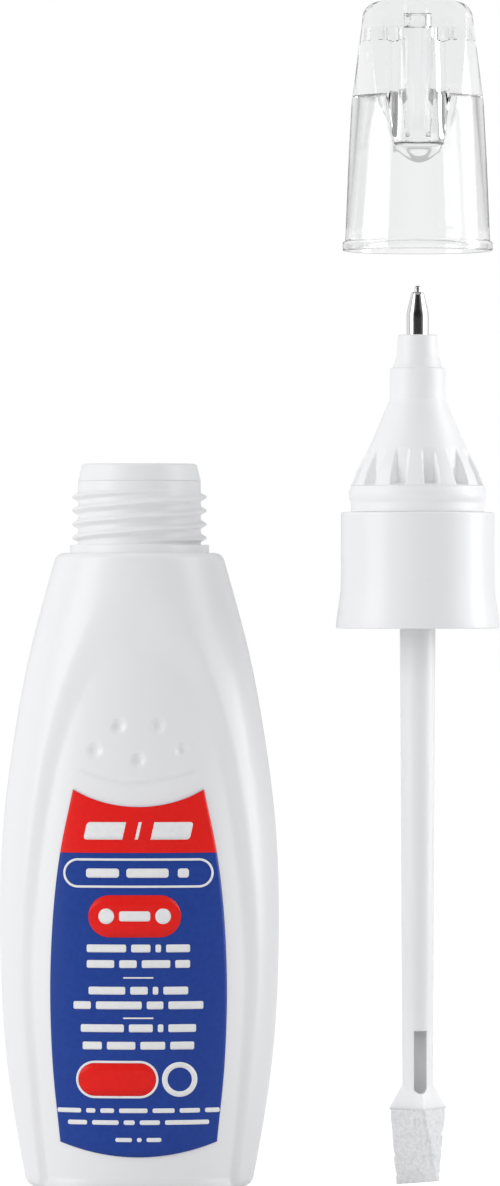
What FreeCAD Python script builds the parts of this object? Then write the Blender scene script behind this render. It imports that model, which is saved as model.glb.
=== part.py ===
"""Correction pen, apart as it is for filling: oval bottle, pen head with its wand, and clear overcap.

Millimetres, +Z up. The origin is the middle of the bottle's base. The front, with the label, looks along -Y.
Heights of the head's pieces are counted from the foot of its screw cap.
"""
import FreeCAD
import Part

import math
import os

# Bottle: (height, half width, half depth) of its oval sections, blown in one piece
BOTTLE_STATIONS = ((0.0, 12.35, 8.7), (13.0, 14.55, 9.5), (27.0, 15.35, 9.85),
                   (41.0, 14.85, 9.8), (55.0, 12.85, 9.5), (69.6, 9.1, 9.1))
BOTTLE_WALL = 0.9
HEEL_RADIUS = 1.0
SHOULDER_RADIUS = 0.7

# Neck, plain between its root and its top: the thread rolls round it
NECK_HEIGHT = 7.9
NECK_RADIUS = 6.75
NECK_BORE = 5.6
COLLAR_RADIUS = 7.65
COLLAR_HEIGHT = 0.9
THREAD_DEPTH = 0.62

# Wiper insert in the neck
INSERT_BORE = 3.5
INSERT_WALL = 1.0
INSERT_DEPTH = 6.5
INSERT_FLANGE_HEIGHT = 1.9
INSERT_TOP_RADIUS = 6.3
WIPER_LIP = 0.6

# Gap of pieces that are pushed into each other
PUSH_FIT = 0.02

# Steel ball that stirs the fluid
BALL_RADIUS = 2.75
BALL_PLACE_X = 3.0

# Recessed panel on the front and on the back: (half width, height) up one side, and the arch's apex
PANEL_SIDE = ((10.3, 1.6), (11.35, 12.0), (11.6, 22.0), (10.9, 34.0), (9.4, 44.2))
PANEL_APEX = 59.6
PANEL_DEPTH = 0.6
PANEL_BEVEL = 0.5
DIMPLE_RADIUS = 0.88
DIMPLE_DEPTH = 0.35
DIMPLE_PLACES = ((-4.75, 48.1), (-2.15, 50.7), (0.0, 47.0), (2.15, 50.7), (4.75, 48.1))
GROOVE_WIDTH = 0.45
GROOVE_DEPTH = 0.25
GROOVE_HALF_LENGTH = 6.9
GROOVE_END_HEIGHT = 46.3
GROOVE_DIP = 1.75

# Label: film, and the ink on it as plain fields
FILM = 0.12
INK = 0.05
BOND = 0.02
LABEL_SIDE = ((8.56, 5.3), (9.4, 14.0), (9.6, 25.0), (8.55, 36.9), (7.15, 43.8))
LABEL_TOP_DIP = 1.9
LABEL_FOOT_DIP = 1.6
HEADER_FOOT = 36.9
PILL_HALF_WIDTH = 8.2
PILL_HEIGHT = 3.2
PILL_MIDDLE = 34.7
PILL_LINE = 0.25
CAPSULE_SIZE = (10.1, 4.6)
CAPSULE_MIDDLE = (-0.4, 30.0)
MARK_SIZE = (8.5, 3.6)
MARK_MIDDLE = (-2.3, 12.2)
BADGE_RADIUS = 1.9
BADGE_MIDDLE = (4.5, 12.2)
# (height, length, thickness) of the white rules that stand where the label has lines of type
RULES = ((26.5, 12.1, 0.7), (24.8, 11.1, 0.7), (23.3, 3.3, 0.25), (21.9, 11.4, 0.7), (20.3, 14.0, 0.7),
         (18.9, 3.3, 0.25), (17.8, 12.5, 0.7), (15.9, 12.0, 0.7), (8.8, 16.8, 0.4), (7.5, 15.8, 0.4),
         (5.6, 4.8, 0.4))

# Pen head, upright beside the bottle, with its foam just clear of the surface
HEAD_X = 30.6
HEAD_CLEARANCE = 0.05
CAP_HEIGHT = 12.8
CAP_RADIUS = 8.44
CAP_FOOT_RADIUS = 9.0
CAP_FLARE_HEIGHT = 4.2
CAP_LIP = 1.0
CAP_LIP_WIDTH = 0.5
THREAD_CLEARANCE = 0.13
LINER_BEAD = 0.3

# Nose, moulded in one piece with its grip ribs
NOSE_SPIGOT = 1.9
NOSE_BAND_RADIUS = 7.36
NOSE_BEAD_RADIUS = 7.5
NOSE_BAND_TOP = 14.0
NOSE_BEAD_CREST = 14.5
NOSE_BEAD_TOP = 15.6
NOSE_BELLY = (6.55, 17.6)
NOSE_NECK_RADIUS = 5.4
NOSE_RIBS_TOP = 19.8
NOSE_CONE_TOP = 25.3
NOSE_STEM_RADIUS = 3.05
NOSE_STEM_TOP = 28.6
NOSE_LEDGE = 0.3
NOSE_TIP_RADIUS = 2.26
NOSE_TIP_FOOT = 30.0
NOSE_TOP = 32.3
NOSE_TOP_RADIUS = 2.18
RIB_COUNT = 12
RIB_ANGLE = 13.0
POCKET_RADIUS = 5.75
POCKET_FLOOR = 0.1
POCKET_WALL_HEIGHT = 1.95
POCKET_TOP_RADIUS = 5.15
POCKET_RUN_OUT = 1.5
NOSE_CHANNEL = 1.0

# Loose seal liner under the nose
LINER_THICKNESS = 0.6
LINER_FIT = 0.2
LINER_GAP = 0.3

# Metal tip, its sprung valve pin, the spring and the ring that holds it
TIP_RADIUS = 1.22
TIP_WALL = 0.27
TIP_FOOT = 26.5
TIP_CONE_FOOT = 34.7
TIP_TOP = 37.0
TIP_END_RADIUS = 0.69
TIP_HOLE = 0.40
TIP_HOLE_LENGTH = 1.3
TIP_SEAT_HEIGHT = 1.1
PIN_FIT = 0.07
PIN_PROUD = 0.7
PIN_BODY_RADIUS = 0.70
PIN_BODY_LENGTH = 2.4
PIN_COLLAR_RADIUS = 0.85
PIN_COLLAR = 0.5
PIN_TAIL_RADIUS = 0.25
RETAINER_HEIGHT = 1.0
RETAINER_SLOT = 0.3
RETAINER_RIM = 0.25
SPRING_WIRE = 0.1
SPRING_RADIUS = 0.55
SPRING_TURNS = 5
SPRING_SIDES = 8
SPRING_GAP = 0.02

# Wand: a hollow taper with one inlet slot and a flared holder for the foam
WAND_RADIUS = 1.96
WAND_END_RADIUS = 1.69
WAND_BORE = 1.2
BORE_SUMP = 0.4
WAND_ROOT = 18.0
WAND_FOOT = -50.0
HOLDER_HEIGHT = 2.8
SLOT_DROP = 1.1
SLOT_LENGTH = 6.9
SLOT_WIDTH = 1.45
SLOT_TURN = 10.0
PEG_RADIUS = 0.9
PEG_LENGTH = 4.5

# Foam chisel
FOAM_TOP_WIDTH = 4.4
FOAM_TOP_THICKNESS = 5.2
FOAM_EDGE_WIDTH = 5.1
FOAM_EDGE = 0.6
FOAM_LENGTH = 8.45
FOAM_SLANT = 0.5
FOAM_TURN = -30.0

# Overcap, a clear moulding, drawn off above the head: heights are counted from its rim,
# and what is called a roof, and the depths of its side's (radius, depth), from its crown down. The core
# is a tongue between the facets: (half width, height above its foot) up its side
OVERCAP_LIFT = 28.7
OVERCAP_HEIGHT = 27.6
RIM_RADIUS = 8.24
RIM_HEIGHT = 1.0
SKIRT_RADIUS = 7.95
OVERCAP_SIDE = ((7.6, 17.6), (7.26, 11.2), (6.57, 5.9))
CROWN_RADIUS = 6.08
CROWN_ROUNDING = 2.0
CROWN_DOME = 0.15
BEAD_FIT = 0.12
BEAD_GROOVE_HEIGHT = 2.9
BEAD_STEP = 0.3
GRIP_FIT = 0.06
CORE_FOOT = 11.6
CORE_BORE = 3.15
CORE_LEAD = 0.6
CORE_ROOF = 3.3
CORE_SIDE = ((2.6, 0.0), (3.14, 4.0), (4.05, 8.2))
ROOM_WALL = 0.8
ROOM_TOP = 17.0
ROOM_TOP_RADIUS = 6.35
WELL_RADIUS = 1.6
WELL_ROOF = 1.7
VENT_ANGLES = (-32.0, 0.0, 32.0)
VENT_WIDTH = 0.8
VENT_REACH = 4.4
VENT_HEIGHT = 1.6
FACET_FOOT = 10.0
FACET_DISTANCE = 7.6
FACET_WALL = 0.3

# Places that follow from the sizes above
SHOULDER = BOTTLE_STATIONS[-1][0]
MOUTH = SHOULDER + NECK_HEIGHT + INSERT_FLANGE_HEIGHT
THREAD_CREST = NECK_RADIUS + THREAD_DEPTH
CAP_INNER = THREAD_CREST + THREAD_CLEARANCE
CAP_HOLE = CAP_INNER - CAP_LIP_WIDTH
NOSE_FOOT = CAP_HEIGHT - NOSE_SPIGOT
LINER_TOP = NOSE_FOOT - LINER_GAP
LINER_FOOT = LINER_TOP - LINER_THICKNESS
TIP_BORE = TIP_RADIUS - TIP_WALL
TIP_SEAT_TOP = TIP_TOP - TIP_HOLE_LENGTH
PIN_RADIUS = TIP_HOLE - PIN_FIT
RETAINER_TOP = TIP_FOOT + RETAINER_HEIGHT
HOLDER_FOOT = WAND_FOOT - HOLDER_HEIGHT
SLOT_FOOT = WAND_FOOT - SLOT_DROP
SLOT_TOP = SLOT_FOOT + SLOT_LENGTH
FOAM_FOOT = HOLDER_FOOT - FOAM_LENGTH
HEAD_FOOT = HEAD_CLEARANCE - FOAM_FOOT
CORE_TOP = OVERCAP_HEIGHT - CORE_ROOF
WELL_TOP = OVERCAP_HEIGHT - WELL_ROOF
OUTSIDE = 40.0


def point(x, y, z):
    return FreeCAD.Vector(x, y, z)


def outline(start, *steps):
    """Closed wire in the XZ plane: a step is the (x, z) end of a line, or an arc's middle and end."""
    edges = []
    here = start
    for step in steps + (start,):
        if step == here:
            continue
        if isinstance(step[0], tuple):
            middle, end = step
            edges.append(Part.Arc(*[point(x, 0, z) for x, z in (here, middle, end)]).toShape())
        else:
            end = step
            edges.append(Part.makeLine(*[point(x, 0, z) for x, z in (here, end)]))
        here = end
    return Part.Wire(edges)


def turned(start, *steps):
    """Body of revolution about the Z axis of an outline whose x is the radius."""
    return Part.Face(outline(start, *steps)).revolve(point(0, 0, 0), point(0, 0, 1), 360)


def rod(radius, foot, top):
    return Part.makeCylinder(radius, top - foot, point(0, 0, foot))


def block(half_x, half_y, foot, top):
    return Part.makeBox(2 * half_x, 2 * half_y, top - foot, point(-half_x, -half_y, foot))


def oval(half_width, half_depth, height):
    """Ellipse at a height, as one closed curve that starts at +X."""
    circle = Part.makeCircle(1.0).toNurbs()
    scale = FreeCAD.Matrix()
    scale.scale(half_width, half_depth, 1.0)
    edge = circle.transformGeometry(scale).Edges[0]
    edge.translate(point(0, 0, height))
    return Part.Wire([edge])


def bottle_form(inset):
    """The bottle's smooth body, with every section drawn in by the inset."""
    wires = [oval(width - inset, depth - inset, height) for height, width, depth in BOTTLE_STATIONS]
    return Part.makeLoft(wires, True, False)


def front_prism(wire):
    """Everything in front of the axis that an outline in the XZ plane covers."""
    return Part.Face(wire).extrude(point(0, -OUTSIDE, 0))


def panel_prism(grow):
    """The arched outline of the recessed panel, widened all round, as a front prism."""
    right = [point(x + grow, 0, z) for x, z in PANEL_SIDE]
    right[0].z -= grow
    left = [point(-p.x, 0, p.z) for p in reversed(right)]
    side = Part.BSplineCurve()
    side.interpolate(right)
    other_side = Part.BSplineCurve()
    other_side.interpolate(left)
    arch = Part.Arc(right[-1], point(0, 0, PANEL_APEX + grow), left[0])
    foot = Part.makeLine(left[-1], right[0])
    return front_prism(Part.Wire([side.toShape(), arch.toShape(), other_side.toShape(), foot]))


def both_sides(front):
    """A front tool and its copy on the back."""
    back = front.copy()
    back.rotate(point(0, 0, 0), point(0, 0, 1), 180)
    return [front, back]


def skin(depth, thickness):
    """Thin layer of the bottle's form: its outer face lies at depth below the smooth body."""
    return bottle_form(depth).cut(bottle_form(depth + thickness))


def pill(length, height, middle, grow=0.0):
    """Front prism of a bar with round ends about a middle (x, z)."""
    radius = height / 2 + grow
    reach = length / 2 - height / 2
    x, z = middle
    wire = outline((x - reach, z - radius), (x + reach, z - radius),
                   ((x + reach + radius, z), (x + reach, z + radius)),
                   (x - reach, z + radius), ((x - reach - radius, z), (x - reach, z - radius)))
    return front_prism(wire)


def bottle_shell():
    """Blown in one piece: oval body with a panel front and back, round shoulder, collar and neck."""
    body = bottle_form(0.0)
    heel = [e for e in body.Edges if e.BoundBox.ZMax < HEEL_RADIUS / 2]
    body = body.makeFillet(HEEL_RADIUS, heel)
    shoulder = [e for e in body.Edges if e.BoundBox.ZMin > SHOULDER - SHOULDER_RADIUS / 2]
    body = body.makeFillet(SHOULDER_RADIUS, shoulder)
    recess = panel_prism(0.0).cut(bottle_form(PANEL_DEPTH))
    bevel = panel_prism(PANEL_BEVEL).cut(bottle_form(PANEL_DEPTH / 2))
    body = body.cut(both_sides(recess) + both_sides(bevel))

    dimples = []
    for x, z in DIMPLE_PLACES:
        hole = Part.makeCylinder(DIMPLE_RADIUS, OUTSIDE, point(x, 0, z), point(0, -1, 0))
        dimples.append(hole.cut(bottle_form(PANEL_DEPTH + DIMPLE_DEPTH)))
    low = GROOVE_END_HEIGHT - GROOVE_DIP
    half = GROOVE_WIDTH / 2
    smile = outline((-GROOVE_HALF_LENGTH, GROOVE_END_HEIGHT - half),
                    ((0.0, low - half), (GROOVE_HALF_LENGTH, GROOVE_END_HEIGHT - half)),
                    (GROOVE_HALF_LENGTH, GROOVE_END_HEIGHT + half),
                    ((0.0, low + half), (-GROOVE_HALF_LENGTH, GROOVE_END_HEIGHT + half)))
    groove = front_prism(smile).cut(bottle_form(PANEL_DEPTH + GROOVE_DEPTH))
    body = body.cut(dimples + [groove])

    neck = rod(COLLAR_RADIUS, SHOULDER - BOTTLE_WALL, SHOULDER + COLLAR_HEIGHT)
    neck = neck.fuse(rod(NECK_RADIUS, SHOULDER - BOTTLE_WALL, SHOULDER + NECK_HEIGHT))
    body = body.fuse(neck)

    room = block(OUTSIDE, OUTSIDE, BOTTLE_WALL, SHOULDER - BOTTLE_WALL)
    hollow = bottle_form(BOTTLE_WALL).common(room)
    inner_step = panel_prism(BOTTLE_WALL).cut(bottle_form(PANEL_DEPTH + BOTTLE_WALL))
    hollow = hollow.cut(both_sides(inner_step))
    hollow = hollow.fuse(rod(NECK_BORE, SHOULDER - 2 * BOTTLE_WALL, SHOULDER + NECK_HEIGHT))
    return body.cut(hollow)


def wiper_insert():
    """Soft insert pressed in the neck: its lip wipes the wand, and its flange seals the mouth."""
    foot = SHOULDER + NECK_HEIGHT
    stem = NECK_BORE - PUSH_FIT
    inner = stem - INSERT_WALL
    deep = foot - INSERT_DEPTH
    return turned((INSERT_BORE, deep), (inner + INSERT_WALL / 2, deep), (stem, deep + INSERT_WALL),
                  (stem, foot), (NECK_RADIUS, foot), (INSERT_TOP_RADIUS, MOUTH), (INSERT_BORE, MOUTH),
                  (INSERT_BORE, MOUTH - INSERT_FLANGE_HEIGHT), (inner, foot - WIPER_LIP),
                  (inner, deep + INSERT_WALL + WIPER_LIP), (INSERT_BORE, deep + WIPER_LIP))


def mixing_ball():
    return Part.makeSphere(BALL_RADIUS, point(BALL_PLACE_X, 0, BOTTLE_WALL + BALL_RADIUS + PUSH_FIT))


def label_prism():
    """The label's outline with its hollow top edge, as a front prism."""
    right = [point(x, 0, z) for x, z in LABEL_SIDE]
    left = [point(-p.x, 0, p.z) for p in reversed(right)]
    side = Part.BSplineCurve()
    side.interpolate(right)
    other_side = Part.BSplineCurve()
    other_side.interpolate(left)
    top = Part.Arc(right[-1], point(0, 0, right[-1].z - LABEL_TOP_DIP), left[0])
    foot = Part.Arc(left[-1], point(0, 0, right[0].z - LABEL_FOOT_DIP), right[0])
    return front_prism(Part.Wire([side.toShape(), top.toShape(), other_side.toShape(), foot.toShape()]))


def front_label():
    """Printed film stuck on the panel's floor."""
    return label_prism().common(skin(PANEL_DEPTH - BOND - FILM, FILM))


def on_label(prisms):
    """Ink: the prisms' shapes as a layer that lies on the label film."""
    ink = skin(PANEL_DEPTH - BOND - FILM - INK, INK)
    return Part.makeCompound([prism.common(ink) for prism in prisms])


def label_red_print():
    header = label_prism().common(block(OUTSIDE, OUTSIDE, HEADER_FOOT, SHOULDER))
    capsule = pill(*CAPSULE_SIZE, CAPSULE_MIDDLE)
    mark = pill(*MARK_SIZE, MARK_MIDDLE)
    return on_label([header, capsule, mark])


def label_white_print():
    ring_middle = (0.0, PILL_MIDDLE)
    ring = pill(2 * PILL_HALF_WIDTH, PILL_HEIGHT, ring_middle)
    ring = ring.cut(pill(2 * PILL_HALF_WIDTH, PILL_HEIGHT, ring_middle, -PILL_LINE))
    badge = pill(2 * BADGE_RADIUS + PILL_LINE, 2 * BADGE_RADIUS, BADGE_MIDDLE)
    rules = [front_prism(outline((-length / 2, z - thick / 2), (length / 2, z - thick / 2),
                                 (length / 2, z + thick / 2), (-length / 2, z + thick / 2)))
             for z, length, thick in RULES]
    return on_label([ring, badge] + rules)


def screw_cap():
    """Skirt that screws on the neck, with a lip that carries the nose and a bead that keeps the liner."""
    bead_top = LINER_FOOT - PUSH_FIT
    return turned((CAP_INNER, 0.0), (CAP_FOOT_RADIUS, 0.0), (CAP_RADIUS, CAP_FLARE_HEIGHT),
                  (CAP_RADIUS, CAP_HEIGHT), (CAP_HOLE, CAP_HEIGHT),
                  (CAP_HOLE, CAP_HEIGHT - CAP_LIP), (CAP_INNER, CAP_HEIGHT - CAP_LIP),
                  (CAP_INNER, bead_top), (CAP_INNER - LINER_BEAD, bead_top),
                  (CAP_INNER - LINER_BEAD, bead_top - LINER_BEAD), (CAP_INNER, bead_top - 2 * LINER_BEAD))


def seal_liner():
    return turned((WAND_RADIUS + LINER_GAP, LINER_FOOT), (CAP_INNER - LINER_FIT, LINER_FOOT),
                  (CAP_INNER - LINER_FIT, LINER_TOP), (WAND_RADIUS + LINER_GAP, LINER_TOP))


def nose_cone():
    """Grip nose: beaded band, ribs round a narrowing barrel, cone and stem, hollow for the fluid."""
    spigot = CAP_HOLE - PUSH_FIT
    socket = WAND_RADIUS + PUSH_FIT
    tip_socket = TIP_RADIUS + PUSH_FIT
    bead_crest = (NOSE_BEAD_RADIUS, NOSE_BEAD_CREST)
    tip_floor = TIP_FOOT - PUSH_FIT
    nose = turned((socket, NOSE_FOOT), (spigot, NOSE_FOOT), (spigot, CAP_HEIGHT),
                  (NOSE_BAND_RADIUS, CAP_HEIGHT), (NOSE_BAND_RADIUS, NOSE_BAND_TOP),
                  (bead_crest, (NOSE_BAND_RADIUS, NOSE_BEAD_TOP)),
                  (NOSE_BELLY, (NOSE_NECK_RADIUS, NOSE_RIBS_TOP)), (NOSE_STEM_RADIUS, NOSE_CONE_TOP),
                  (NOSE_STEM_RADIUS, NOSE_STEM_TOP), (NOSE_STEM_RADIUS - NOSE_LEDGE, NOSE_STEM_TOP),
                  (NOSE_TIP_RADIUS, NOSE_TIP_FOOT),
                  (NOSE_TOP_RADIUS, NOSE_TOP), (tip_socket, NOSE_TOP), (tip_socket, tip_floor),
                  (NOSE_CHANNEL, tip_floor), (NOSE_CHANNEL, WAND_ROOT + PUSH_FIT),
                  (socket, WAND_ROOT + PUSH_FIT))
    floor = NOSE_BEAD_TOP + POCKET_FLOOR
    run_out = NOSE_RIBS_TOP + POCKET_RUN_OUT
    ring = turned((POCKET_RADIUS, floor), (OUTSIDE, floor), (OUTSIDE, run_out), (POCKET_TOP_RADIUS, run_out),
                  (POCKET_RADIUS, floor + POCKET_WALL_HEIGHT))
    pitch = 360.0 / RIB_COUNT
    half = math.radians((pitch - RIB_ANGLE) / 2)
    reach = OUTSIDE * math.tan(half)
    sector = Part.Face(Part.makePolygon([point(0, 0, 0), point(OUTSIDE, -reach, 0), point(OUTSIDE, reach, 0),
                                         point(0, 0, 0)])).extrude(point(0, 0, OUTSIDE))
    pocket = ring.common(sector)
    pockets = []
    for number in range(RIB_COUNT):
        copy = pocket.copy()
        copy.rotate(point(0, 0, 0), point(0, 0, 1), (number + 0.5) * pitch)
        pockets.append(copy)
    return nose.cut(pockets)


def pen_tip():
    """Drawn metal tube with a conical end and a seat inside for the valve pin."""
    return turned((TIP_BORE, TIP_FOOT), (TIP_RADIUS, TIP_FOOT), (TIP_RADIUS, TIP_CONE_FOOT),
                  (TIP_END_RADIUS, TIP_TOP), (TIP_HOLE, TIP_TOP),
                  (TIP_HOLE, TIP_SEAT_TOP), (TIP_BORE, TIP_SEAT_TOP - TIP_SEAT_HEIGHT))


def pin_levels():
    """Heights of the valve pin: seat top, shoulder, foot of its body, collar's foot."""
    slope = (TIP_BORE - TIP_HOLE) / TIP_SEAT_HEIGHT
    shoulder = TIP_SEAT_TOP - (PIN_BODY_RADIUS - PIN_RADIUS) / slope
    body_foot = shoulder - PIN_BODY_LENGTH
    return TIP_SEAT_TOP, shoulder, body_foot, body_foot - PIN_COLLAR


def valve_pin():
    """Needle that closes the tip: pressed in, it lets the fluid past."""
    seat, shoulder, body_foot, collar_foot = pin_levels()
    top = TIP_TOP + PIN_PROUD
    middle = PIN_RADIUS * math.sin(math.radians(45))
    arc_middle = (middle, top - PIN_RADIUS + middle)
    return turned((0.0, TIP_FOOT), (PIN_TAIL_RADIUS, TIP_FOOT), (PIN_TAIL_RADIUS, collar_foot),
                  (PIN_COLLAR_RADIUS, collar_foot), (PIN_COLLAR_RADIUS, body_foot),
                  (PIN_BODY_RADIUS, body_foot),
                  (PIN_BODY_RADIUS, shoulder), (PIN_RADIUS, seat), (PIN_RADIUS, top - PIN_RADIUS),
                  (arc_middle, (0.0, top)))


def spring_retainer():
    """Ring pressed in the tip's foot, slotted so that fluid passes and the pin's tail is guided."""
    inner = PIN_TAIL_RADIUS + PIN_FIT
    ring = rod(TIP_BORE - PUSH_FIT, TIP_FOOT, RETAINER_TOP).cut(rod(inner, TIP_FOOT, RETAINER_TOP))
    slots = []
    for number in range(3):
        slot = Part.makeBox(TIP_BORE - RETAINER_RIM, RETAINER_SLOT, RETAINER_HEIGHT,
                            point(0, -RETAINER_SLOT / 2, TIP_FOOT))
        slot.rotate(point(0, 0, 0), point(0, 0, 1), 120.0 * number)
        slots.append(slot)
    return ring.cut(slots)


def valve_spring():
    """Coil that pushes the pin up against its seat, its wire's section drawn with flat sides."""
    foot = RETAINER_TOP + SPRING_WIRE + SPRING_GAP
    top = pin_levels()[-1] - SPRING_WIRE - SPRING_GAP
    helix = Part.makeHelix((top - foot) / SPRING_TURNS, top - foot, SPRING_RADIUS)
    helix.translate(point(0, 0, foot))
    turns = [2 * math.pi * (side + 0.5) / SPRING_SIDES for side in range(SPRING_SIDES)]
    corners = [point(SPRING_RADIUS + SPRING_WIRE * math.cos(turn), 0, foot + SPRING_WIRE * math.sin(turn))
               for turn in turns]
    return Part.Wire(helix).makePipeShell([Part.makePolygon(corners + corners[:1])], True, True)


def wand_tube():
    """Hollow wand that draws fluid through one slot, with a flared holder and a peg for the foam."""
    body = turned((0.0, HOLDER_FOOT), (WAND_END_RADIUS, HOLDER_FOOT), (WAND_END_RADIUS, WAND_FOOT),
                  (WAND_RADIUS, 0.0), (WAND_RADIUS, WAND_ROOT), (0.0, WAND_ROOT))
    root = WAND_END_RADIUS * math.sqrt(2.0)
    wide = foam_outline(FOAM_TOP_WIDTH, FOAM_TOP_THICKNESS, HOLDER_FOOT)
    holder = Part.makeLoft([foam_outline(root, root, WAND_FOOT), wide], True, True)
    peg = rod(PEG_RADIUS, HOLDER_FOOT - PEG_LENGTH, HOLDER_FOOT)
    body = body.fuse([holder, peg])
    body = body.cut(rod(WAND_BORE, SLOT_FOOT - BORE_SUMP, WAND_ROOT))
    half = SLOT_WIDTH / 2
    middle = SLOT_FOOT + half
    slot = front_prism(outline((-half, middle), ((0.0, SLOT_FOOT), (half, middle)), (half, SLOT_TOP),
                               (-half, SLOT_TOP)))
    slot.rotate(point(0, 0, 0), point(0, 0, 1), SLOT_TURN)
    return body.cut(slot)


def foam_outline(width, thickness, height):
    """The foam's rectangle at a height, turned about the wand's axis."""
    half_x, half_y = width / 2, thickness / 2
    corners = [point(-half_x, -half_y, height), point(half_x, -half_y, height),
               point(half_x, half_y, height), point(-half_x, half_y, height)]
    wire = Part.makePolygon(corners + corners[:1])
    wire.rotate(point(0, 0, 0), point(0, 0, 1), FOAM_TURN)
    return wire


def foam_tip():
    """Open-cell foam cut to a chisel, with a hole for the wand's peg and a slanted edge."""
    top = foam_outline(FOAM_TOP_WIDTH, FOAM_TOP_THICKNESS, HOLDER_FOOT)
    foam = Part.makeLoft([top, foam_outline(FOAM_EDGE_WIDTH, FOAM_EDGE, FOAM_FOOT)], True, True)
    low, high = FOAM_FOOT, FOAM_FOOT + FOAM_SLANT
    half = FOAM_EDGE_WIDTH / 2
    under = outline((-half, low), (half, high), (OUTSIDE, high), (OUTSIDE, low - 1), (-OUTSIDE, low - 1),
                    (-OUTSIDE, low))
    under = Part.Face(under).extrude(point(0, 2 * OUTSIDE, 0))
    under.translate(point(0, -OUTSIDE, 0))
    under.rotate(point(0, 0, 0), point(0, 0, 1), FOAM_TURN)
    foam = foam.cut(under)
    return foam.cut(rod(PEG_RADIUS + PUSH_FIT, HOLDER_FOOT - PEG_LENGTH - PUSH_FIT, HOLDER_FOOT))


def facet_cutters(distance):
    """Everything beyond two leaning planes, front and back, that lie at the distance at the facets' foot."""
    lean = (FACET_DISTANCE - CORE_BORE - FACET_WALL) / (CORE_TOP - FACET_FOOT)
    above = OVERCAP_HEIGHT + CROWN_ROUNDING
    side = outline((distance, FACET_FOOT), (OUTSIDE, FACET_FOOT), (OUTSIDE, above),
                   (distance - lean * (above - FACET_FOOT), above))
    cutter = Part.Face(side).extrude(point(0, 2 * OUTSIDE, 0))
    cutter.translate(point(0, -OUTSIDE, 0))
    cutter.rotate(point(0, 0, 0), point(0, 0, 1), -90)
    return both_sides(cutter)


def overcap():
    """Clear one-piece cap: flanged rim, drafted wall, two leaning facets, and a tongue with a vented bore."""
    crown_low = OVERCAP_HEIGHT - CROWN_ROUNDING
    corner = math.radians(45)
    crown_middle = (CROWN_RADIUS - CROWN_ROUNDING * (1 - math.sin(corner)),
                    crown_low + CROWN_ROUNDING * math.cos(corner) - CROWN_DOME)
    crown_end = (CROWN_RADIUS - CROWN_ROUNDING, OVERCAP_HEIGHT - CROWN_DOME)
    side = [(radius, OVERCAP_HEIGHT - depth) for radius, depth in OVERCAP_SIDE]
    cap = turned((0.0, 0.0), (RIM_RADIUS, 0.0), (RIM_RADIUS, RIM_HEIGHT), (SKIRT_RADIUS, RIM_HEIGHT),
                 *side, (CROWN_RADIUS, crown_low), (crown_middle, crown_end), (0.0, OVERCAP_HEIGHT))
    cap = cap.cut(facet_cutters(FACET_DISTANCE))

    groove = NOSE_BEAD_RADIUS + BEAD_FIT
    grip = NOSE_BAND_RADIUS + GRIP_FIT
    room = turned((0.0, 0.0), (groove, 0.0), (groove, BEAD_GROOVE_HEIGHT),
                  (grip, BEAD_GROOVE_HEIGHT + BEAD_STEP),
                  (ROOM_TOP_RADIUS, ROOM_TOP), (0.0, ROOM_TOP))
    room = room.cut(facet_cutters(FACET_DISTANCE - ROOM_WALL))
    right = [(half, CORE_FOOT + rise) for half, rise in CORE_SIDE]
    left = [(-half, height) for half, height in reversed(right)]
    tongue = Part.Face(outline(*right, *left)).extrude(point(0, 2 * OUTSIDE, 0))
    tongue.translate(point(0, -OUTSIDE, 0))
    room = room.cut(tongue)

    lead = CORE_BORE + CORE_LEAD
    bore = turned((0.0, CORE_FOOT - CORE_LEAD), (lead, CORE_FOOT - CORE_LEAD), (lead, CORE_FOOT),
                  (CORE_BORE, CORE_FOOT + 2 * CORE_LEAD), (CORE_BORE, CORE_TOP),
                  (WELL_RADIUS, CORE_TOP), (WELL_RADIUS, WELL_TOP), (0.0, WELL_TOP))
    vents = []
    for angle in VENT_ANGLES:
        vent = Part.makeBox(VENT_REACH, VENT_WIDTH, VENT_HEIGHT,
                            point(0, -VENT_WIDTH / 2, CORE_TOP - VENT_HEIGHT))
        vent.rotate(point(0, 0, 0), point(0, 0, 1), angle)
        vents += both_sides(vent)
    return cap.cut([room, bore] + vents)


def write(name, shape, lift=0.0, x=0.0):
    """Put a piece in its place and save it as the file that carries its name."""
    placed = shape.copy()
    placed.translate(point(x, 0, lift))
    solids = placed.Solids
    placed = solids[0] if len(solids) == 1 else Part.makeCompound(solids)
    placed.exportStep(os.path.join("parts", name + ".step"))
    print(name, "solids", len(solids), "valid", placed.isValid(), "volume", round(placed.Volume, 2))


os.makedirs("parts", exist_ok=True)
for piece in (bottle_shell, wiper_insert, mixing_ball, front_label, label_red_print, label_white_print):
    write(piece.__name__, piece())
for piece in (screw_cap, nose_cone, seal_liner, pen_tip, valve_pin, valve_spring, spring_retainer, wand_tube,
              foam_tip):
    write(piece.__name__, piece(), HEAD_FOOT, HEAD_X)
write("overcap", overcap(), HEAD_FOOT + CAP_HEIGHT + OVERCAP_LIFT, HEAD_X)
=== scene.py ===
"""Looks of a correction pen that stands apart for filling, dressed piece by piece as it is put together.

Sizes are in millimetres and the meshes are written in metres. The labelled front looks along -Y.
"""

import math

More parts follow.
